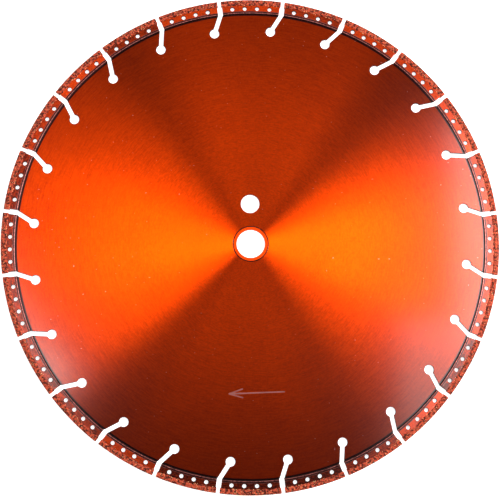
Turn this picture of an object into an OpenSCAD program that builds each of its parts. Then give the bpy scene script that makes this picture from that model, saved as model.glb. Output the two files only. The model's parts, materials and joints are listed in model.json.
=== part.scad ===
// Segmented diamond blade with a reducing bush.
// The origin is at the centre of the bore, halfway through the core's thickness.
// +Z leaves the front face, the one with the direction arrow, and +Y points at the drive-pin hole.

/* [Blade] */
// Cutting diameter, over the diamond coat
blade_d = 355; // [340:1:370]
// Number of segments round the rim
segment_count = 24; // [20:1:26]
// Angle of the first segment's middle from the drive-pin hole, counter-clockwise
segment_lead = -0.9; // [-3:0.1:3]
// Thickness of the steel core
core_t = 2.2; // [1.8:0.1:2.3]

/* [Segments] */
// Thickness of a segment's steel body
segment_t = 2.4; // [2.4:0.1:2.8]
// Height from the middle of the weld to the cutting edge
rim_h = 10.1; // [9.8:0.1:11]
// Gap between the steel bodies of neighbouring segments
gap_w = 3.5; // [3:0.1:4]
// Holes through each segment
holes_per_segment = 4; // [3:1:4]
// Diameter of a hole
hole_d = 2.8; // [2:0.1:3]
// Distance from a hole's centre to the cutting edge
hole_inset = 6.65; // [6:0.05:6.8]

/* [Weld seams] */
// Width of the fused seam between core and segment
weld_w = 1.2; // [0.8:0.1:1.4]
// Thickness over the seam's two crowns
weld_t = 2.5; // [2.4:0.1:2.8]

/* [Diamond coat] */
// Height of the coat on a segment's sides
coat_h = 3.8; // [3:0.1:4]
// Thickness over the coat on both sides
coat_t = 3.2; // [3:0.1:3.6]
// Thickness of the coat on the cutting edge
coat_edge = 0.7; // [0.4:0.1:1]
// Thickness of the coat on a segment's ends
coat_end = 0.65; // [0.3:0.05:0.8]

/* [Gullets] */
// Width of the slanted slot in the core
slot_w = 3.1; // [2.5:0.1:3.5]
// Diameter of the round relief hole at the slot's foot
keyhole_d = 6.7; // [5:0.1:8]
// Distance from the middle of the weld in to the relief hole's centre
keyhole_inset = 13; // [11:0.5:15]
// Sideways distance from the gap's centre line to the relief hole's centre
keyhole_shift = 6.1; // [4:0.1:7]

/* [Reducing bush] */
// Bore of the bush, which takes the saw's arbor
bore_d = 20; // [15.9:0.1:22.3]
// Bore of the core, which takes the bush
seat_d = 25.4; // [25.4:0.1:26]
// Thickness of the bush
bush_t = 2; // [1.8:0.1:2.2]
// Radial clearance between the bush and the core
bush_clearance = 0.04; // [0.02:0.01:0.08]
// Chamfer on the bush's edges
bush_chamfer = 0.2; // [0.1:0.05:0.3]

/* [Drive-pin hole] */
// Diameter of the drive-pin hole
pin_hole_d = 13.2; // [10:0.1:14]
// Distance from the bore's centre to the drive-pin hole's centre
pin_hole_r = 28.7; // [26:0.1:32]

/* [Direction arrow] */
// Distance from the bore's centre to the arrow's shaft
arrow_r = 105.7; // [80:0.1:130]
// Angle round the blade from -Y to the arrow's middle
arrow_angle = 1.4; // [-10:0.1:10]
// Length of the arrow
arrow_l = 38.7; // [20:0.1:60]
// Length of each stroke of the arrow's head
arrow_head_l = 9.8; // [5:0.1:15]
// Angle between the shaft and each stroke of the head
arrow_head_angle = 18; // [10:1:45]
// Width of the engraved line
arrow_w = 1.1; // [0.6:0.1:2]
// Depth of the engraved line
arrow_depth = 0.12; // [0.05:0.01:0.3]

/* [Hidden] */
blade_r = blade_d / 2;
weld_r = blade_r - rim_h;
core_r = weld_r - weld_w / 2;
segment_inner_r = weld_r + weld_w / 2;
segment_outer_r = blade_r - coat_edge;
pitch = 360 / segment_count;
hole_pitch = pitch / (holes_per_segment + 1);
hole_circle_r = blade_r - hole_inset;
slot_lean = atan2(keyhole_shift, keyhole_inset);
slot_l = norm([keyhole_shift, keyhole_inset]);
bush_r = seat_d / 2 - bush_clearance;
// Run-out of a cutting tool past the surface that it cuts
cut = 1;
$fa = 2;
$fs = 0.4;

// Angle from +Y to the middle of segment i, counted from 0
function segment_angle(i) = segment_lead + i * pitch;
// Angle from +Y to the gap that follows segment i
function gap_angle(i) = segment_angle(i) + pitch / 2;
// Two-digit number of segment i, counted from 1
function number(i) = str(i < 9 ? "0" : "", i + 1);
function segment_name(i) = str("segment_", number(i));
function coat_name(i) = str("diamond_coat_", number(i));

// One gullet, drawn with its gap along +Y: the straight gap between two segments,
// the slanted slot in the core and the round relief hole at its foot
module gullet_outline() {
    translate([-gap_w / 2, weld_r])
        square([gap_w, rim_h + cut]);
    translate([0, weld_r]) {
        circle(d = slot_w);
        rotate(-slot_lean)
            translate([-slot_w / 2, -slot_l])
                square([slot_w, slot_l]);
        translate([-keyhole_shift, -keyhole_inset])
            circle(d = keyhole_d);
    }
}

module all_gullets() {
    for (i = [0 : segment_count - 1])
        rotate(gap_angle(i))
            gullet_outline();
}

// One pitch of a ring, centred on +Y, with each end parallel to its gap's centre line
module rim_piece(r_in, r_out, gap, t) {
    half = pitch / 2;
    apex = gap / 2 / sin(half);
    reach = r_out + cut;
    linear_extrude(t, center = true)
        intersection() {
            difference() {
                circle(r = r_out);
                circle(r = r_in);
            }
            translate([0, apex])
                polygon([[0, 0], reach * [sin(half), cos(half)], reach * [-sin(half), cos(half)]]);
        }
}

module segment_blank() {
    rim_piece(segment_inner_r, segment_outer_r, gap_w, segment_t);
}

// One engraved stroke from the origin towards +X, with round ends
module stroke(l) {
    translate([0, -arrow_w / 2])
        square([l, arrow_w]);
    circle(d = arrow_w);
    translate([l, 0])
        circle(d = arrow_w);
}

// The arrow points clockwise, the way that the blade turns when seen from the front
module arrow_outline() {
    rotate(arrow_angle)
        translate([-arrow_l / 2, -arrow_r]) {
            stroke(arrow_l);
            for (side = [-1, 1])
                rotate(side * arrow_head_angle)
                    stroke(arrow_head_l);
        }
}

module core() {
    color("darkorange")
        difference() {
            linear_extrude(core_t, center = true)
                difference() {
                    circle(r = core_r);
                    circle(d = seat_d);
                    translate([0, pin_hole_r])
                        circle(d = pin_hole_d);
                    all_gullets();
                }
            translate([0, 0, core_t / 2 - arrow_depth])
                linear_extrude(arrow_depth + cut)
                    arrow_outline();
        }
}

// The fused seams are one node of separate solids, one under each segment
module weld_seams() {
    color("tomato")
        linear_extrude(weld_t, center = true)
            difference() {
                circle(r = segment_inner_r);
                circle(r = core_r);
                all_gullets();
            }
}

module segment(i) {
    color("coral")
        rotate(segment_angle(i))
            difference() {
                segment_blank();
                for (h = [0 : holes_per_segment - 1])
                    rotate((h - (holes_per_segment - 1) / 2) * hole_pitch)
                        translate([0, hole_circle_r])
                            cylinder(h = segment_t + 2 * cut, d = hole_d, center = true);
            }
}

// The coat wraps a segment's cutting edge, both sides and both ends
module diamond_coat(i) {
    color("sienna")
        rotate(segment_angle(i))
            difference() {
                rim_piece(blade_r - coat_h, blade_r, gap_w - 2 * coat_end, coat_t);
                segment_blank();
            }
}

module reducing_bush() {
    c = bush_chamfer;
    bore_r = bore_d / 2;
    half_t = bush_t / 2;
    color("orange")
        rotate_extrude()
            polygon([
                [bore_r, c - half_t], [bore_r + c, -half_t],
                [bush_r - c, -half_t], [bush_r, c - half_t],
                [bush_r, half_t - c], [bush_r - c, half_t],
                [bore_r + c, half_t], [bore_r, half_t - c]
            ]);
}

core();
weld_seams();
reducing_bush();
for (i = [0 : segment_count - 1]) {
    segment(i);
    diamond_coat(i);
}
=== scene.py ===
import json
import math

import bmesh
import bpy
import numpy as np
from mathutils import Matrix, Vector, noise


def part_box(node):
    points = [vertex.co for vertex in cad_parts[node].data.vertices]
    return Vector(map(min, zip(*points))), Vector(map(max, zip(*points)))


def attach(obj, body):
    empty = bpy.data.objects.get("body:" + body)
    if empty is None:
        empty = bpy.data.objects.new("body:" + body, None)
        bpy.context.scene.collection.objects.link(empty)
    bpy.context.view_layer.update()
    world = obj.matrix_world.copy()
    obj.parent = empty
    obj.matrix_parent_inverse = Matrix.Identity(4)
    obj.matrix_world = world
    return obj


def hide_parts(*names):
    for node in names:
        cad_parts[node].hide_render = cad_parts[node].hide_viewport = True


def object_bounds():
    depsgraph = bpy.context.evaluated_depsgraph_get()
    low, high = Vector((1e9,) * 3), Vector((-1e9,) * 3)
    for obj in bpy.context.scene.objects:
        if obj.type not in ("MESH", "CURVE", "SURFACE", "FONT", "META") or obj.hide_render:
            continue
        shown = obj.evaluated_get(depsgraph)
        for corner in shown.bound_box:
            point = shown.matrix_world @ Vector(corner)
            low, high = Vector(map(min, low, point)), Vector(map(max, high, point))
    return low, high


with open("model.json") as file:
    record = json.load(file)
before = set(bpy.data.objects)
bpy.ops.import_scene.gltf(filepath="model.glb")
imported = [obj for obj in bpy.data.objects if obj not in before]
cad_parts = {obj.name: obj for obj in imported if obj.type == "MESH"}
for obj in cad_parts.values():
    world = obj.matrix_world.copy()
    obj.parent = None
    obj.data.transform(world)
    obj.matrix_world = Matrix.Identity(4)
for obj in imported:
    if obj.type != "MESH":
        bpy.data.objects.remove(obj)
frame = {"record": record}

CAD_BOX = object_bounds()

# ---------------------------------------------------------------- sizes, in metres
MM = 0.001
PER_METRE = 1000                        # millimetres in a metre
SEGMENTS = 24
PITCH = 2 * math.pi / SEGMENTS
SEGMENT_LEAD = math.radians(-0.9)       # first segment's middle, counter-clockwise from the drive-pin hole

CORE_LOW, CORE_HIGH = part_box("core")
CORE_R = 166.8 * MM
CORE_T = CORE_HIGH.z - CORE_LOW.z
SEAT_R = 12.7 * MM
PIN_HOLE_R = 6.6 * MM
PIN_HOLE_AT = frame["record"]["mounts"][1]["pos_m"][1]

BUSH_LOW, BUSH_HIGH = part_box("reducing_bush")
BUSH_R = BUSH_HIGH.x
BUSH_T = BUSH_HIGH.z - BUSH_LOW.z
BORE_R = frame["record"]["mounts"][0]["dims"]["r_mm"] * MM
BUSH_CHAMFER = 0.2 * MM

WELD_R = 167.4 * MM
GAP_W = 3.5 * MM
SLOT_W = 3.1 * MM
KEYHOLE_R = 3.35 * MM
KEYHOLE_AT = Vector((-6.1, 154.4, 0)) * MM

SEGMENT_IN_R = 168.0 * MM
SEGMENT_OUT_R = 176.8 * MM
SEGMENT_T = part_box("segment_01")[1].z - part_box("segment_01")[0].z
HOLES = 4
HOLE_R = 1.4 * MM
HOLE_CIRCLE_R = 170.85 * MM
HOLE_STEP = PITCH / (HOLES + 1)
PAINTED_LIT_SEGMENTS = (1, 2, 4, 11, 16, 21, 22, 23)     # painted light: these segments get the palest painted tone
PAINTED_DARK_SEGMENTS = (6, 7, 8, 9, 12, 13, 14, 17)      # painted shade: these segments get the darkest painted tone
# the painted tones of light and shade for the segments, and how far each strays at random
PAINTED_LIT_TONE, PAINTED_USUAL_TONE, PAINTED_DARK_TONE = 0.38, 0.75, 0.92
PAINTED_TONE_SPREAD = 0.06
PAINTED_TONE_SEED = 5

BLADE_R = 177.5 * MM
COAT_IN_R = 173.7 * MM
COAT_HALF_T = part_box("diamond_coat_01")[1].z
COAT_END = 0.65 * MM

ARROW_R = 105.7 * MM
ARROW_ANGLE = math.radians(1.4)
ARROW_L = 38.7 * MM
ARROW_HEAD_L = 9.8 * MM
ARROW_HEAD_ANGLE = math.radians(18)
ARROW_W = 1.1 * MM
ARROW_DEPTH = 0.12 * MM

CORE_EDGE = 0.34 * MM                   # how far the sharp edges are broken
SEGMENT_EDGE = 0.22 * MM
EXTRA = 1 * MM                          # how far a cutter runs past the surface that it cuts
MERGE = 0.001 * MM

# where the finishes change, as distances from the axis in millimetres: the start, then the end
# painted shadow in the seam between the bush and the core
BUSH_SEAM_SHADE = (12.0, 12.2)
# painted shade: the core's colour darkens from here out to the rim
RIM_PAINTED_SHADE = (50, 175)
# painted shade: the core's outer edge darkens beside the weld bead
CORE_EDGE_SHADE = (165.45, 166.0)
# painted shade on the bead's flanks outside these two, and a painted highlight on the crown between them
CROWN_STARTS = (167.4, 167.6)
CROWN_ENDS = (167.95, 168.15)
# painted shade: the segment's inner edge darkens beside the weld bead
SEGMENT_EDGE_SHADE = (168.95, 168.65)
MAUVE_SEGMENT = (169.5, 168.6)


# ---------------------------------------------------------------- modelling, as by hand
def select_only(*pieces):
    bpy.ops.object.select_all(action="DESELECT")
    for piece in pieces:
        piece.select_set(True)
    bpy.context.view_layer.objects.active = pieces[0]


def start(name, add, **settings):
    """Adds a primitive with nothing else selected, and names it."""
    bpy.ops.object.select_all(action="DESELECT")
    add(**settings)
    piece = bpy.context.object
    piece.name = piece.data.name = name
    bpy.ops.object.transform_apply(location=True, rotation=True, scale=True)
    return piece


def edit(piece, choose, kind, action, **settings):
    """Selects what choose says yes to, in edit mode, and runs one operator on it."""
    select_only(piece)
    bpy.ops.object.mode_set(mode="EDIT")
    bpy.ops.mesh.select_mode(type=kind)
    bpy.ops.mesh.select_all(action="DESELECT")
    mesh = bmesh.from_edit_mesh(piece.data)
    parts = {"VERT": mesh.verts, "EDGE": mesh.edges, "FACE": mesh.faces}[kind]
    for part in parts:
        part.select_set(bool(choose(part)))
    mesh.select_flush_mode()
    bmesh.update_edit_mesh(piece.data)
    action(**settings)
    bpy.ops.object.mode_set(mode="OBJECT")


def everything(part):
    return True


def turn(piece, angle):
    """Turns a piece's mesh about the blade's axis."""
    piece.data.transform(Matrix.Rotation(angle, 4, "Z"))


def copy(piece, name):
    """A copy of a piece, with a mesh of its own."""
    twin = piece.copy()
    twin.data = piece.data.copy()
    twin.name = twin.data.name = name
    bpy.context.scene.collection.objects.link(twin)
    return twin


def join(pieces, name):
    select_only(*pieces)
    bpy.ops.object.join()
    pieces[0].name = pieces[0].data.name = name
    return pieces[0]


def finish_with(piece, kind, **settings):
    """Adds a modifier and applies it at once."""
    select_only(piece)
    modifier = piece.modifiers.new(kind.title(), kind)
    for setting, value in settings.items():
        setattr(modifier, setting, value)
    bpy.ops.object.modifier_apply(modifier=modifier.name)
    return piece


def cut(piece, cutters):
    """Cuts the cutters out of a piece. Their finish goes on the cut walls."""
    tools = bpy.data.collections.new("cutters")
    bpy.context.scene.collection.children.link(tools)
    for cutter in cutters:
        tools.objects.link(cutter)
    finish_with(piece, "BOOLEAN", operation="DIFFERENCE", operand_type="COLLECTION",
                collection=tools, solver="EXACT", material_mode="TRANSFER")
    for cutter in cutters:
        bpy.data.objects.remove(cutter)
    bpy.data.collections.remove(tools)
    return piece


def smooth(piece, degrees):
    """Smooth shading, but for edges that are sharper than the angle."""
    select_only(piece)
    bpy.ops.object.shade_smooth_by_angle(angle=math.radians(degrees))
    return piece


def smooth_round_flats(piece, degrees=50):
    """Smooth shading that keeps the flat faces flat."""
    return finish_with(smooth(piece, degrees), "WEIGHTED_NORMAL", keep_sharp=True, weight=100)


def break_edges(piece, width):
    """Rounds the sharp edges a little. The new faces have the cut walls' finish, the second one."""
    finish_with(piece, "BEVEL", width=width, segments=2, limit_method="ANGLE",
                angle_limit=math.radians(40), use_clamp_overlap=True, material=1)
    return smooth_round_flats(piece)


def mend(piece):
    """Merges doubles and turns the faces outwards."""
    edit(piece, everything, "VERT", bpy.ops.mesh.remove_doubles, threshold=MERGE)
    edit(piece, everything, "FACE", bpy.ops.mesh.normals_make_consistent, inside=False)
    return piece


def drill(name, centre, radius, depth, sides=64):
    """A round cutter."""
    return start(name, bpy.ops.mesh.primitive_cylinder_add, vertices=sides, radius=radius, depth=depth,
                 location=centre)


def slot_cutter(name, first, last, width, depth, sides=32):
    """A cutter with round ends, from the first point to the last."""
    along = Vector(last) - Vector(first)
    tool = start(name, bpy.ops.mesh.primitive_cylinder_add, vertices=sides, radius=width / 2, depth=depth)
    edit(tool, lambda v: v.co.x > 0, "VERT", bpy.ops.transform.translate, value=(along.length, 0, 0))
    tool.data.transform(Matrix.Rotation(math.atan2(along.y, along.x), 4, "Z"))
    tool.data.transform(Matrix.Translation(first))
    return tool


def segment_angle(number):
    return SEGMENT_LEAD + number * PITCH


def gap_angle(number):
    return segment_angle(number) + PITCH / 2


# ---------------------------------------------------------------- finishes
class Value:
    """A socket of a finish's nodes. Python's operators on it add Math nodes."""

    def __init__(self, finish, socket):
        self.finish = finish
        self.socket = socket

    def sum(self, operation, *values):
        return self.finish.node("Math", {"operation": operation}, *values)

    def __add__(self, other):
        return self.sum("ADD", self, other)

    def __sub__(self, other):
        return self.sum("SUBTRACT", self, other)

    def __mul__(self, other):
        return self.sum("MULTIPLY", self, other)

    def __truediv__(self, other):
        return self.sum("DIVIDE", self, other)

    def __pow__(self, other):
        return self.sum("POWER", self, other)

    def __radd__(self, other):
        return self.sum("ADD", other, self)

    def __rsub__(self, other):
        return self.sum("SUBTRACT", other, self)

    def __rmul__(self, other):
        return self.sum("MULTIPLY", other, self)

    def clamp(self):
        """Held between 0 and 1."""
        return self.finish.node("Clamp", {}, self, 0.0, 1.0)

    def step(self, low, high):
        """0 below low, 1 above high, and smooth between them. low may be the larger one."""
        settings = {"interpolation_type": "SMOOTHSTEP"}
        return self.finish.node("MapRange", settings, self, low, high, 0.0, 1.0)


class Finish:
    """A material made of nodes."""

    def __init__(self, name):
        self.material = bpy.data.materials.new(name)
        self.material.use_nodes = True
        self.nodes = self.material.node_tree.nodes
        self.links = self.material.node_tree.links
        self.nodes.clear()

    def node(self, kind, settings=None, *inputs, out=0, **named):
        """Adds one node: its settings first, then the values or links of its sockets."""
        made = self.nodes.new("ShaderNode" + kind)
        for setting, value in (settings or {}).items():
            if setting == "stops":
                self.set_stops(made.color_ramp, value)
            else:
                setattr(made, setting, value)
        for place, value in [*enumerate(inputs), *named.items()]:
            key = place if isinstance(place, int) else place.replace("_", " ")
            self.feed(made.inputs[key], value)
        return Value(self, made.outputs[out])

    def set_stops(self, ramp, stops):
        while len(ramp.elements) < len(stops):
            ramp.elements.new(0.5)
        for element, (position, colour) in zip(ramp.elements, stops):
            element.position = position
            element.color = (*colour, 1)

    def feed(self, socket, value):
        if isinstance(value, Value):
            self.links.new(value.socket, socket)
        elif isinstance(value, tuple) and len(value) == 3 and socket.type == "RGBA":
            socket.default_value = (*value, 1)
        else:
            socket.default_value = value

    def blend(self, share, first, second):
        """Mixes two colours: first at share 0, second at share 1."""
        made = self.nodes.new("ShaderNodeMix")
        made.data_type = "RGBA"
        self.feed(made.inputs[0], share)
        self.feed(made.inputs[6], first)
        self.feed(made.inputs[7], second)
        return Value(self, made.outputs[2])

    def place(self):
        return self.node("TexCoord", out="Object")

    def polar(self):
        """The place on the blade as x, y and the distance from the axis, in millimetres."""
        parts = self.node("SeparateXYZ", {}, self.place())
        x = Value(self, parts.socket.node.outputs["X"]) * PER_METRE
        y = Value(self, parts.socket.node.outputs["Y"]) * PER_METRE
        return x, y, (x * x + y * y) ** 0.5

    def from_axis(self):
        """The distance from the axis alone."""
        return self.polar()[2]

    def round_grain(self, across, along, detail=2.0):
        """Noise in arcs round the axis, like the marks of a turning tool or a brush."""
        x, y, r = self.polar()
        arc = self.node("CombineXYZ", {}, x / r * along, y / r * along, r * across)
        return self.node("TexNoise", {}, Vector=arc, Scale=1.0, Detail=detail)

    def speckle(self, size_mm, detail=2.0):
        """Noise in even blobs, of about the size given in millimetres."""
        return self.node("TexNoise", {}, Vector=self.place(), Scale=PER_METRE / size_mm, Detail=detail)

    def surface(self, constants, **changing):
        """The shader itself: constants go on its sockets, changing ones are linked."""
        shader = self.nodes.new("ShaderNodeBsdfPrincipled")
        for socket, value in constants.items():
            self.feed(shader.inputs[socket], value)
        for socket, value in changing.items():
            self.feed(shader.inputs[socket.replace("_", " ")], value)
        output = self.nodes.new("ShaderNodeOutputMaterial")
        self.links.new(shader.outputs[0], output.inputs["Surface"])
        return self.material

    def bump(self, height, strength, distance_mm):
        return self.node("Bump", {}, Height=height, Strength=strength, Distance=distance_mm * MM)


# colours of steel under the lacquer: light and deep, near the bush, at the rim with painted shade, and on
# the segments
ORANGE = (1.0, 0.069, 0.0002)
DEEP_ORANGE = (0.66, 0.036, 0.0003)
SHADED_RIM_ORANGE = (0.43, 0.029, 0.0002)
SHADED_DEEP_RIM = (0.23, 0.012, 0.0002)
SEGMENT_ORANGE = (1.0, 0.072, 0.003)
SEGMENT_BROWN = (0.072, 0.007, 0.003)
# what welding did to it, and the brown of painted shade in the seams and grooves beside the weld
HEAT_MAUVE = (0.30, 0.075, 0.062)
PAINTED_SHADE_BROWN = (0.028, 0.006, 0.005)
WELD_DULL = (0.16, 0.036, 0.030)
WELD_BRIGHT = (0.62, 0.18, 0.150)
# the small things
DUST = (0.95, 0.45, 0.36)
ETCHED_DULL = (0.17, 0.028, 0.020)
ETCHED_PALE = (0.36, 0.12, 0.10)
WALL_BLACK = (0.010, 0.003, 0.002)
WALL_BROWN = (0.045, 0.010, 0.006)
ALLOY_DARK = (0.060, 0.006, 0.003)
ALLOY_RED = (0.52, 0.072, 0.030)
GRAIN_SHADES = [
    (0.0, (0.060, 0.006, 0.004)),
    (0.3, (0.20, 0.017, 0.008)),
    (0.55, (0.56, 0.080, 0.037)),
    (0.8, (0.90, 0.25, 0.11)),
    (1.0, (1.0, 0.50, 0.23)),
]

LACQUER_INDEX = 1.5
GRAIN_INDEX = 1.3
ROUND_THE_AXIS = 0.25                   # turns the brushing's direction from radial to circular


def lacquered_turned_steel():
    """The core's faces: brushed in circles, then dipped in a thin orange lacquer."""
    f = Finish("lacquered_turned_steel")
    r = f.from_axis()
    strokes = f.round_grain(across=1.5, along=18.0, detail=1.0)
    turning = f.round_grain(across=0.30, along=3.0)
    patches = f.speckle(34, detail=3.0)
    peel = f.speckle(1.4, detail=1.0)
    grain = (strokes - 0.5) * 1.3 + (peel - 0.5) * 0.9
    depth = grain + (turning - 0.5) * 0.3 + (patches - 0.5) * 0.5 + 0.3
    # painted shade: the lacquer's colours darken towards the rim
    rim = r.step(*RIM_PAINTED_SHADE)
    light = f.blend(rim, ORANGE, SHADED_RIM_ORANGE)
    deep = f.blend(rim, DEEP_ORANGE, SHADED_DEEP_RIM)
    colour = f.blend(depth.clamp(), light, deep)
    dust = f.speckle(1.6, detail=0.0).step(0.84, 0.89) * 0.4
    colour = f.blend(dust, colour, DUST)
    # painted shade on the core's outer edge, beside the weld bead
    colour = f.blend(r.step(*CORE_EDGE_SHADE), colour, PAINTED_SHADE_BROWN)
    return f.surface(
        {"Metallic": 1.0, "Anisotropic": 1.0, "Anisotropic Rotation": ROUND_THE_AXIS,
         "Coat Roughness": 0.105, "Coat IOR": LACQUER_INDEX},
        Base_Color=colour,
        Roughness=0.305 + (turning - 0.5) * 0.015 + (patches - 0.5) * 0.015,
        Coat_Weight=0.86 + (patches - 0.5) * 0.3,
        Normal=f.bump(turning + peel * 0.1, 0.02, 0.05),
    )


def lacquered_bush_steel():
    """The bush: turned, bright all round, with painted shadow in the seam round it."""
    f = Finish("lacquered_bush_steel")
    r = f.from_axis()
    marks = f.round_grain(across=2.0, along=8.0)
    patches = f.speckle(3.0)
    colour = f.blend(marks, DEEP_ORANGE, ORANGE)
    # painted shadow in the seam round the bush
    colour = f.blend(r.step(*BUSH_SEAM_SHADE), colour, PAINTED_SHADE_BROWN)
    return f.surface(
        {"Metallic": 1.0, "Coat Roughness": 0.15, "Coat IOR": LACQUER_INDEX},
        Base_Color=colour, Roughness=0.42 + (patches - 0.5) * 0.15, Coat_Weight=0.6,
        Normal=f.bump(marks, 0.15, 0.05),
    )


def etched_steel():
    """The arrow's line, burned through the lacquer to the pale steel."""
    f = Finish("etched_steel")
    grit = f.speckle(0.8)
    broad = f.speckle(7)
    bare = (grit * 0.6 + broad * 0.9 - 0.25).clamp()
    colour = f.blend(bare, ETCHED_DULL, ETCHED_PALE)
    return f.surface({"Metallic": 0.4}, Base_Color=colour, Roughness=0.55 + grit * 0.2,
                     Normal=f.bump(grit, 0.4, 0.05))


def cut_wall_steel():
    """Laser-cut walls: browned by heat, with fine lines through the thickness."""
    f = Finish("cut_wall_steel")
    stretched = f.node("Mapping", {}, Vector=f.place(), Scale=(1, 1, 0.05))
    lines = f.node("TexNoise", {}, Vector=stretched, Scale=3000.0, Detail=2.0)
    colour = f.blend(lines, WALL_BLACK, WALL_BROWN)
    return f.surface({"Metallic": 1.0}, Base_Color=colour, Roughness=0.5 + (lines - 0.5) * 0.3,
                     Normal=f.bump(lines, 0.5, 0.05))


def lacquered_segment_steel():
    """The segments: ground flat, heat-tinted beside the weld, and lacquered, each with its own painted
    tone of light or shade and with painted shade along its inner edge.
    """
    f = Finish("lacquered_segment_steel")
    r = f.from_axis()
    ground = f.round_grain(across=1.6, along=30.0)
    patches = f.speckle(7, detail=3.0)
    # painted light and shade: each segment's own tone, read from its attribute
    browning = f.node("Attribute", {"attribute_name": "browning"}, out="Fac")
    specks = f.speckle(1.2, detail=1.0)
    depth = browning + (ground - 0.5) * 0.7 + (patches - 0.5) * 0.5 + (specks - 0.5) * 0.6
    colour = f.blend(depth.clamp(), SEGMENT_ORANGE, SEGMENT_BROWN)
    ragged = (f.speckle(2.4, detail=3.0) - 0.5) * 1.6
    colour = f.blend((r + ragged).step(*MAUVE_SEGMENT), colour, HEAT_MAUVE)
    # painted shade along the segment's inner edge, beside the weld bead
    colour = f.blend(r.step(*SEGMENT_EDGE_SHADE), colour, PAINTED_SHADE_BROWN)
    return f.surface(
        {"Metallic": 1.0, "Anisotropic": 0.75, "Anisotropic Rotation": ROUND_THE_AXIS,
         "Coat Roughness": 0.15, "Coat IOR": LACQUER_INDEX},
        Base_Color=colour,
        Roughness=0.33 + (patches - 0.5) * 0.2,
        Coat_Weight=0.65 + (patches - 0.5) * 0.5,
        Normal=f.bump(ground + patches * 0.5, 0.05, 0.05),
    )


def weld_steel():
    """The weld bead: a pale mauve crown, lightened also as a painted highlight along the crest, with
    painted shade in the grooves beside it.
    """
    f = Finish("weld_steel")
    r = f.from_axis()
    scale = f.speckle(1.2, detail=2.0)
    # the crown: pale weld metal, and also a painted highlight along the crest
    crown = f.blend(scale.step(0.3, 0.7), WELD_DULL, WELD_BRIGHT)
    # painted shade in the grooves on both sides of the crown
    colour = f.blend(r.step(*CROWN_STARTS), PAINTED_SHADE_BROWN, crown)
    colour = f.blend(r.step(*CROWN_ENDS), colour, PAINTED_SHADE_BROWN)
    return f.surface(
        {"Metallic": 1.0, "Anisotropic": 0.7, "Anisotropic Rotation": ROUND_THE_AXIS,
         "Coat Roughness": 0.25},
        Base_Color=colour, Roughness=0.40 + (scale - 0.5) * 0.3, Coat_Weight=0.5,
        Normal=f.bump(scale, 0.2, 0.06),
    )


def braze_alloy():
    """The brazing alloy between the grains, under the lacquer."""
    f = Finish("braze_alloy")
    lumps = f.speckle(1.6, detail=2.0)
    colour = f.blend(lumps.step(0.40, 0.60), ALLOY_DARK, ALLOY_RED)
    return f.surface({"Metallic": 0.5, "IOR": GRAIN_INDEX}, Base_Color=colour,
                     Roughness=0.45 + (lumps - 0.5) * 0.5, Normal=f.bump(lumps, 0.6, 0.12))


def diamond_grains():
    """The grains themselves: each its own shade, from clear gold to dark brown."""
    f = Finish("diamond_grains")
    shade = f.node("Attribute", {"attribute_name": "shade"}, out="Fac")
    colour = f.node("ValToRGB", {"stops": GRAIN_SHADES}, shade)
    pits = f.speckle(0.4)
    return f.surface({"Metallic": 0.5, "IOR": GRAIN_INDEX}, Base_Color=colour,
                     Roughness=0.36 + pits * 0.2, Normal=f.bump(pits, 0.2, 0.03))


FINISHES = {
    "core": lacquered_turned_steel(),
    "bush": lacquered_bush_steel(),
    "etched": etched_steel(),
    "wall": cut_wall_steel(),
    "segment": lacquered_segment_steel(),
    "weld": weld_steel(),
    "braze": braze_alloy(),
    "grain": diamond_grains(),
}


def give(piece, *names):
    piece.data.materials.clear()
    for name in names:
        piece.data.materials.append(FINISHES[name])
    return piece


def hand_in(piece, body, slot, *nodes):
    """Puts a finished piece on its body, in place of its CAD nodes, which it hides; slot is not used."""
    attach(piece, body)
    if nodes:
        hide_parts(*nodes)
    return piece


# ---------------------------------------------------------------- the core
def gullet_cutters(number):
    """The slanted slot and the round relief hole that follow one segment."""
    foot = Vector((0, WELD_R, 0))
    tools = [
        drill("relief_cutter", KEYHOLE_AT, KEYHOLE_R, CORE_T + EXTRA),
        slot_cutter("slot_cutter", KEYHOLE_AT, foot, SLOT_W, CORE_T + EXTRA),
    ]
    for tool in tools:
        turn(tool, gap_angle(number))
        give(tool, "wall")
    return tools


def arrow_cutters():
    """One shaft and two barbs, cut into the front face only."""
    z = CORE_T / 2 + EXTRA / 2 - ARROW_DEPTH
    tip = Vector((-ARROW_L / 2, -ARROW_R, z))
    ends = [tip + Vector((ARROW_L, 0, 0))]
    for side in (-1, 1):
        angle = side * ARROW_HEAD_ANGLE
        ends.append(tip + Vector((math.cos(angle), math.sin(angle), 0)) * ARROW_HEAD_L)
    tools = [slot_cutter("arrow_cutter", tip, end, ARROW_W, EXTRA, sides=16) for end in ends]
    for tool in tools:
        turn(tool, ARROW_ANGLE)
        give(tool, "etched")
    return tools


def core_plate():
    plate = start("core_plate", bpy.ops.mesh.primitive_cylinder_add, vertices=720, radius=CORE_R,
                  depth=CORE_T)
    give(plate, "core")
    cutters = [
        drill("seat_cutter", (0, 0, 0), SEAT_R, CORE_T + EXTRA, sides=128),
        drill("pin_cutter", (0, PIN_HOLE_AT, 0), PIN_HOLE_R, CORE_T + EXTRA, sides=96),
    ]
    for tool in cutters:
        give(tool, "wall")
    for number in range(SEGMENTS):
        cutters += gullet_cutters(number)
    cut(plate, cutters)
    break_edges(mend(plate), CORE_EDGE)
    return smooth_round_flats(mend(cut(plate, arrow_cutters())))


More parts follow.
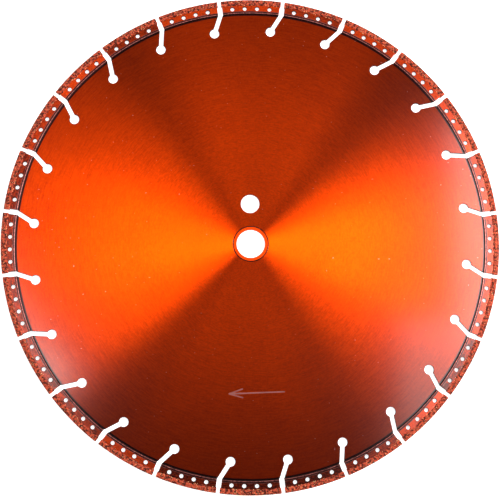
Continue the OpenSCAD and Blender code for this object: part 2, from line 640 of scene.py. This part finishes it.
# ---------------------------------------------------------------- the bush
def bush_ring():
    """A turned ring: its half section is drawn once and spun round the axis."""
    ring = start("bush_ring", bpy.ops.mesh.primitive_plane_add, size=1)
    width = BUSH_R - BORE_R
    ring.data.transform(Matrix.Diagonal((width, BUSH_T, 1, 1)))
    ring.data.transform(Matrix.Rotation(math.pi / 2, 4, "X"))
    ring.data.transform(Matrix.Translation(((BUSH_R + BORE_R) / 2, 0, 0)))
    edit(ring, everything, "VERT", bpy.ops.mesh.bevel, affect="VERTICES", offset=BUSH_CHAMFER,
         segments=3)
    edit(ring, everything, "FACE", bpy.ops.mesh.delete, type="ONLY_FACE")
    edit(ring, everything, "EDGE", bpy.ops.mesh.spin, steps=160, angle=2 * math.pi, center=(0, 0, 0),
         axis=(0, 0, 1))
    return give(smooth_round_flats(mend(ring), degrees=30), "bush")


# ---------------------------------------------------------------- the segments
def trim_ends(piece, gap):
    """Cuts a piece of the rim, centred on +Y, parallel to the gaps on each side of it."""
    for side in (-1, 1):
        angle = side * PITCH / 2
        across = Vector((math.cos(angle), math.sin(angle), 0)) * -side
        edit(piece, everything, "FACE", bpy.ops.mesh.bisect, plane_co=-across * gap / 2,
             plane_no=across, use_fill=True, clear_outer=True)
    return piece


def rim_strip(name, section, steps):
    """Spins a closed section, drawn in the plane x = 0, through one pitch of the rim."""
    strip = start(name, bpy.ops.mesh.primitive_plane_add, size=1)
    edit(strip, everything, "VERT", bpy.ops.mesh.delete, type="VERT")
    mesh = bmesh.new()
    corners = [mesh.verts.new((0, r, z)) for r, z in section]
    mesh.faces.new(corners)
    mesh.to_mesh(strip.data)
    mesh.free()
    turn(strip, -PITCH / 2)
    edit(strip, everything, "FACE", bpy.ops.mesh.spin, steps=steps, angle=PITCH, center=(0, 0, 0),
         axis=(0, 0, -1))
    return mend(strip)


def heat(number, rng):
    """One segment's painted tone of light or shade, from 0 to 1, standing in for how its tilt catches the
    lamps.
    """
    level = PAINTED_USUAL_TONE
    if number in PAINTED_LIT_SEGMENTS:
        level = PAINTED_LIT_TONE
    if number in PAINTED_DARK_SEGMENTS:
        level = PAINTED_DARK_TONE
    return level + rng.uniform(-PAINTED_TONE_SPREAD, PAINTED_TONE_SPREAD)


def mark_painted_tone(steel, level):
    """Marks one segment's painted tone of light or shade, and centres its brushing on the axis."""
    mark = steel.data.attributes.new("browning", "FLOAT", "FACE")
    mark.data.foreach_set("value", [level] * len(steel.data.polygons))
    steel.data.use_auto_texspace = False
    steel.data.texspace_location = (0, 0, 0)
    steel.data.texspace_size = (BLADE_R, BLADE_R, BLADE_R)


def segment_master():
    half = SEGMENT_T / 2
    section = [(SEGMENT_IN_R, -half), (SEGMENT_OUT_R, -half), (SEGMENT_OUT_R, half), (SEGMENT_IN_R, half)]
    steel = trim_ends(rim_strip("segment_master", section, 60), GAP_W)
    give(steel, "segment")
    cutters = []
    for hole in range(HOLES):
        angle = (hole - (HOLES - 1) / 2) * HOLE_STEP
        tool = drill("hole_cutter", (0, HOLE_CIRCLE_R, 0), HOLE_R, SEGMENT_T + EXTRA, sides=40)
        turn(tool, angle)
        cutters.append(give(tool, "wall"))
    cut(steel, cutters)
    return break_edges(mend(steel), SEGMENT_EDGE)


# ---------------------------------------------------------------- the weld seams
BEAD_R = WELD_R + 0.3 * MM
BEAD_HALF_W = 0.95 * MM
BEAD_HALF_T = 1.27 * MM
BEAD_SIDES = 12
BEAD_STEPS = 110
RIPPLE_SIZE = 0.5 * MM
RIPPLE = 0.035                          # as a share of the bead's height
SWELL_SIZE = 3.0 * MM
SWELL = 0.03


def oval(centre_r, half_w, half_t, sides):
    """A closed section in the radial plane: points of distance from the axis, and height."""
    angles = [2 * math.pi * side / sides for side in range(sides)]
    return [(centre_r + half_w * math.cos(a), half_t * math.sin(a)) for a in angles]


def weld_beads():
    """One bead under each segment, joined into one piece, then rippled all along."""
    section = oval(BEAD_R, BEAD_HALF_W, BEAD_HALF_T, BEAD_SIDES)
    master = trim_ends(rim_strip("weld_master", section, BEAD_STEPS), GAP_W)
    beads = []
    for number in range(SEGMENTS):
        bead = copy(master, "weld_bead")
        turn(bead, segment_angle(number))
        beads.append(bead)
    bpy.data.objects.remove(master)
    seam = join(beads, "weld_beads")
    for v in seam.data.vertices:
        ripple = noise.noise(v.co / RIPPLE_SIZE)
        swell = noise.noise(v.co / SWELL_SIZE)
        v.co.z *= 1 + RIPPLE * ripple + SWELL * swell
    return give(smooth(seam, degrees=60), "weld")


# ---------------------------------------------------------------- the diamond coat
GRAIN_R = 0.44 * MM
GRAIN_STANDS = 0.2 * MM                 # how far the grains stand out of the alloy
BRAZE_HALF_T = COAT_HALF_T - GRAIN_STANDS
BRAZE_OUT_R = BLADE_R - GRAIN_STANDS
BRAZE_GAP = GAP_W - 2 * COAT_END + 2 * GRAIN_STANDS
BRAZE_STEPS = 84
GRAIN_STEP = 0.86 * MM
SMALLEST = 0.7                          # the smallest grain's share of GRAIN_R
CLUSTER = 1.5 * MM                      # grains of a like shade lie in clusters of about this size
SHADE = 0.58                            # a grain's usual shade, where 0 is dark brown and 1 clear gold
SHADE_BY_CLUSTER = 2.8
SHADE_BY_GRAIN = 0.25
COAT_SPILL = 0.75 * MM                  # how far the innermost grains lie inside the coat's edge
THINNING = 1.2 * MM                     # the distance over which the grains get sparse there
LUMP_SIZE = 0.8 * MM
LUMP = 0.09                             # how high the alloy's lumps are, in millimetres
INNER_BAND = 0.6 * MM                   # the alloy is ragged this near its inner edge
OUTER_BAND = 0.05 * MM
RAGGED_SIZE = 1.7 * MM
RAGGED, RAGGED_SHIFT = 0.9, 0.5         # how far the ragged edge goes in and out, in millimetres
EDGE_SUNK = 0.1 * MM                    # how deep the alloy's inner edge sits in the steel
END_GRAINS_START = 0.3 * MM             # above the coat's inner edge


def braze_section():
    """The outline of the coat in the radial plane, with its inner edges sunk into the steel."""
    sunk = SEGMENT_T / 2 - EDGE_SUNK
    width = BRAZE_OUT_R - COAT_IN_R
    side = [COAT_IN_R + share * width for share in (0.1, 0.25, 0.4, 0.55, 0.7, 0.85, 0.94)]
    top = [(COAT_IN_R, sunk), *[(r, BRAZE_HALF_T) for r in side]]
    edge = [(BRAZE_OUT_R, BRAZE_HALF_T * share) for share in (0.85, 0.45, 0.0, -0.45, -0.85)]
    bottom = [(r, -z) for r, z in reversed(top)]
    return [*top, *edge, *bottom]


def roughen(braze):
    """Makes the alloy lumpy, and its inner edges ragged."""
    for v in braze.data.vertices:
        r = v.co.xy.length
        lump = noise.noise(v.co / LUMP_SIZE) * LUMP * MM
        if r < COAT_IN_R + INNER_BAND:
            ragged = noise.noise(v.co / RAGGED_SIZE) * RAGGED * MM - RAGGED_SHIFT * MM
            v.co.xy *= (r + ragged) / r
        elif r > BRAZE_OUT_R - OUTER_BAND:
            v.co.xy *= (r + lump) / r
        if abs(v.co.z) > SEGMENT_T / 2:
            v.co.z += math.copysign(lump, v.co.z)


def braze_master():
    return trim_ends(rim_strip("braze_master", braze_section(), BRAZE_STEPS), BRAZE_GAP)


def grain_shapes():
    """Three single grains, each about one unit in radius: a block, a rounded stone and a shard."""
    block = start("block", bpy.ops.mesh.primitive_cube_add, size=1.5)
    edit(block, everything, "VERT", bpy.ops.mesh.bevel, affect="VERTICES", offset_type="PERCENT",
         offset_pct=49)
    edit(block, everything, "VERT", bpy.ops.mesh.remove_doubles, threshold=0.1)
    stone = start("stone", bpy.ops.mesh.primitive_ico_sphere_add, subdivisions=1, radius=1)
    edit(stone, lambda v: v.co.z > 0.1, "VERT", bpy.ops.transform.resize, value=(0.8, 1.15, 0.9))
    shard = start("shard", bpy.ops.mesh.primitive_cube_add, size=1.4)
    for normal in ((1, 1, 1), (-1, 1, 0.4), (0.3, -1, -1)):
        side = Vector(normal).normalized()
        edit(shard, everything, "FACE", bpy.ops.mesh.bisect, plane_co=side * 0.62, plane_no=side,
             use_fill=True, clear_outer=True)
    shapes = []
    for shape in (block, stone, shard):
        finish_with(shape, "TRIANGULATE")
        corners = np.array([v.co for v in shape.data.vertices])
        corners = corners / np.linalg.norm(corners, axis=1).max()
        faces = np.array([list(p.vertices) for p in shape.data.polygons])
        shapes.append((corners, faces))
        bpy.data.objects.remove(shape)
    return shapes


def jittered(rng, low, high, step):
    """Places in a rectangle, on a grid whose every place is shifted a little."""
    steps = np.broadcast_to(step, 2)
    counts = [max(1, round((h - l) / s)) for l, h, s in zip(low, high, steps)]
    axes = [l + (np.arange(n) + 0.5) * (h - l) / n for l, h, n in zip(low, high, counts)]
    grid = np.stack(np.meshgrid(*axes), -1).reshape(-1, 2)
    return grid + rng.uniform(-0.42, 0.42, grid.shape) * step


def grain_places(rng):
    """Where one segment's grains sit, as places on a segment centred on +Y."""
    half_angle = PITCH / 2
    high = COAT_HALF_T - GRAIN_R
    out = BLADE_R - GRAIN_R
    low = COAT_IN_R - COAT_SPILL
    gap = GAP_W - 2 * COAT_END + 2 * GRAIN_R
    places = []
    for face in (-1, 1):
        steps = GRAIN_STEP / np.array((COAT_IN_R, 1))
        flat = jittered(rng, (-half_angle, low), (half_angle, out), steps)
        thin = (flat[:, 1] - low) / THINNING
        flat = flat[rng.uniform(0, 1, len(flat)) < 0.3 + thin]
        places.append(np.column_stack([flat, np.full(len(flat), face * high)]))
    steps = GRAIN_STEP / np.array((BLADE_R, 1))
    rim = jittered(rng, (-half_angle, -high), (half_angle, high), steps)
    places.append(np.column_stack([rim[:, 0], np.full(len(rim), out), rim[:, 1]]))
    angle, r, z = np.concatenate(places).T
    spots = np.column_stack([-r * np.sin(angle), r * np.cos(angle), z])
    for side in (-1, 1):
        along = np.array((side * math.sin(half_angle), math.cos(half_angle)))
        outward = np.array((side * math.cos(half_angle), -math.sin(half_angle)))
        spots = spots[spots[:, :2] @ outward < -gap / 2]
        end = jittered(rng, (COAT_IN_R + END_GRAINS_START, -high), (out, high), GRAIN_STEP)
        wall = end[:, :1] * along - outward * gap / 2
        spots = np.concatenate([spots, np.column_stack([wall, end[:, 1]])])
    return spots


def random_turns(rng, count):
    """Rotation matrices, all directions equally likely."""
    w, x, y, z = rng.normal(size=(count, 4)).T
    size = np.sqrt(w * w + x * x + y * y + z * z)
    w, x, y, z = w / size, x / size, y / size, z / size
    rows = [[1 - 2 * (y * y + z * z), 2 * (x * y - w * z), 2 * (x * z + w * y)],
            [2 * (x * y + w * z), 1 - 2 * (x * x + z * z), 2 * (y * z - w * x)],
            [2 * (x * z - w * y), 2 * (y * z + w * x), 1 - 2 * (x * x + y * y)]]
    return np.moveaxis(np.array(rows), 2, 0)


def scattered_grains(name, shapes, rng):
    """One mesh of all the grains of a segment, each with a shade of its own."""
    spots = grain_places(rng)
    kinds = rng.integers(0, len(shapes), len(spots))
    corners, faces, shades, count = [], [], [], 0
    for kind, (shape, triangles) in enumerate(shapes):
        mine = spots[kinds == kind]
        sizes = rng.uniform(SMALLEST, 1.0, (len(mine), 1, 1)) * GRAIN_R
        turned = np.einsum("nij,kj->nki", random_turns(rng, len(mine)), shape)
        placed = (turned * sizes + mine[:, None, :]).reshape(-1, 3)
        starts = count + np.arange(len(mine)) * len(shape)
        corners.append(placed)
        faces.append((triangles[None] + starts[:, None, None]).reshape(-1, 3))
        clustered = [SHADE + SHADE_BY_CLUSTER * noise.noise(Vector(spot) / CLUSTER) for spot in mine]
        own = rng.uniform(-SHADE_BY_GRAIN, SHADE_BY_GRAIN, len(mine))
        shades.append(np.repeat(clustered + own, len(triangles)))
        count += len(placed)
    mesh = bpy.data.meshes.new(name)
    mesh.from_pydata(np.concatenate(corners), [], np.concatenate(faces))
    shade = mesh.attributes.new("shade", "FLOAT", "FACE")
    shade.data.foreach_set("value", np.concatenate(shades).astype(np.float32))
    piece = bpy.data.objects.new(name, mesh)
    bpy.context.scene.collection.objects.link(piece)
    return give(piece, "grain")


def diamond_coat(number, braze_start, shapes):
    name = f"brazed_coat_{number + 1:02d}"
    braze = give(copy(braze_start, name), "braze")
    grains = scattered_grains("grains", shapes, np.random.default_rng(number + 1))
    turn(braze, segment_angle(number))
    roughen(braze)
    smooth(braze, degrees=50)
    turn(grains, segment_angle(number))
    return join([braze, grains], name)


# ---------------------------------------------------------------- the floor, lights and camera
FLOOR_W = 6.0


def floor():
    slab = start("floor", bpy.ops.mesh.primitive_plane_add, size=FLOOR_W, location=(0, 0, CAD_BOX[0][2]))
    f = Finish("pale_floor")
    slab.data.materials.append(f.surface({"Base Color": (0.9, 0.9, 0.9), "Roughness": 0.8,
                                          "Emission Color": (1, 1, 1), "Emission Strength": 0.8}))


CAMERA_TILT = math.radians(6.487)
CAMERA_SIDE = math.radians(-1.497)
CAMERA_ROLL = math.radians(-0.7)
CAMERA_DISTANCE = 1.245
LENS_MM = 126.1
SENSOR_MM = 36
CAMERA_TARGET = Vector((-0.0006, -0.0030, CORE_HIGH.z))


def camera():
    lens = bpy.data.cameras.new("camera")
    lens.lens = LENS_MM
    lens.sensor_width = SENSOR_MM
    lens.clip_start = 0.05
    body = bpy.data.objects.new("camera", lens)
    body.rotation_mode = "YXZ"
    body.rotation_euler = (CAMERA_TILT, CAMERA_SIDE, CAMERA_ROLL)
    back = body.rotation_euler.to_matrix() @ Vector((0, 0, 1))
    body.location = CAMERA_TARGET + back * CAMERA_DISTANCE
    bpy.context.scene.collection.objects.link(body)
    bpy.context.scene.camera = body


CEILING = 2.0
MIDDLE = Vector((0.052, 0.228, CEILING))     # the point of the ceiling that the blade's middle mirrors
SKY = 0.03
LEFT_TURN = 37.6                             # the panels on the left are turned, in degrees

# the ceiling's panels: name, turn, reach along and across from MIDDLE, and brightness
PANELS = [
    ("left_edge", LEFT_TURN, (-1.10, -0.40), (0, 0.10), 9.0),
    ("left_near", LEFT_TURN, (-1.10, -0.40), (0.10, 0.36), 5.0),
    ("left_high", LEFT_TURN, (-1.50, -0.55), (0.36, 1.20), 4.4),
    ("left_top", LEFT_TURN, (-0.50, 0.00), (0.62, 1.05), 3.5),
    ("right_near", 0, (0.39, 1.05), (-0.37, 0.26), 8.6),
    ("right_near_low", 0, (0.28, 0.50), (-0.46, -0.14), 4.4),
    ("right_far", 0, (1.05, 2.95), (-0.63, 0.67), 11.5),
    ("right_far_low", 0, (0.90, 2.95), (-1.43, -0.63), 1.8),
    ("overhead", 0, (-0.58, 0.85), (0.82, 1.55), 3.8),
    ("streak_left", 61, (0.62, 1.60), (-0.02, 0.02), 5.0),
    ("streak_right", 100, (0.62, 1.60), (-0.02, 0.02), 4.0),
]


def softbox(name, turn_degrees, along, across, glow):
    """A panel in the ceiling, facing down. It runs along and across a line through MIDDLE,
    turned from the X axis; glow is its brightness."""
    lamp = bpy.data.lights.new(name, "AREA")
    lamp.shape = "RECTANGLE"
    lamp.size = along[1] - along[0]
    lamp.size_y = across[1] - across[0]
    lamp.energy = glow * math.pi * lamp.size * lamp.size_y
    body = bpy.data.objects.new(name, lamp)
    heading = Matrix.Rotation(math.radians(turn_degrees), 3, "Z")
    body.location = MIDDLE + heading @ Vector((sum(along) / 2, sum(across) / 2, 0))
    body.rotation_euler = heading.to_euler()
    bpy.context.scene.collection.objects.link(body)


def lights():
    world = bpy.data.worlds.new("studio")
    world.use_nodes = True
    world.node_tree.nodes["Background"].inputs["Color"].default_value = (1, 1, 1, 1)
    world.node_tree.nodes["Background"].inputs["Strength"].default_value = SKY
    bpy.context.scene.world = world
    for panel in PANELS:
        softbox(*panel)
    bpy.context.scene.view_settings.view_transform = "Standard"


camera()
lights()
floor()
hand_in(core_plate(), "blade", "lacquered_core", "core")
hand_in(bush_ring(), "bush", "lacquered_bush", "reducing_bush")
master = segment_master()
rng = np.random.default_rng(PAINTED_TONE_SEED)
for number in range(SEGMENTS):
    steel = copy(master, f"steel_segment_{number + 1:02d}")
    # each segment gets a painted tone of light or shade
    mark_painted_tone(steel, heat(number + 1, rng))
    turn(steel, segment_angle(number))
    hand_in(steel, "blade", "lacquered_segment", f"segment_{number + 1:02d}")
bpy.data.objects.remove(master)
hand_in(weld_beads(), "blade", "weld_metal", "weld_seams")
braze_start, shapes = braze_master(), grain_shapes()
for number in range(SEGMENTS):
    coat = diamond_coat(number, braze_start, shapes)
    hand_in(coat, "blade", "diamond_grit", f"diamond_coat_{number + 1:02d}")
bpy.data.objects.remove(braze_start)
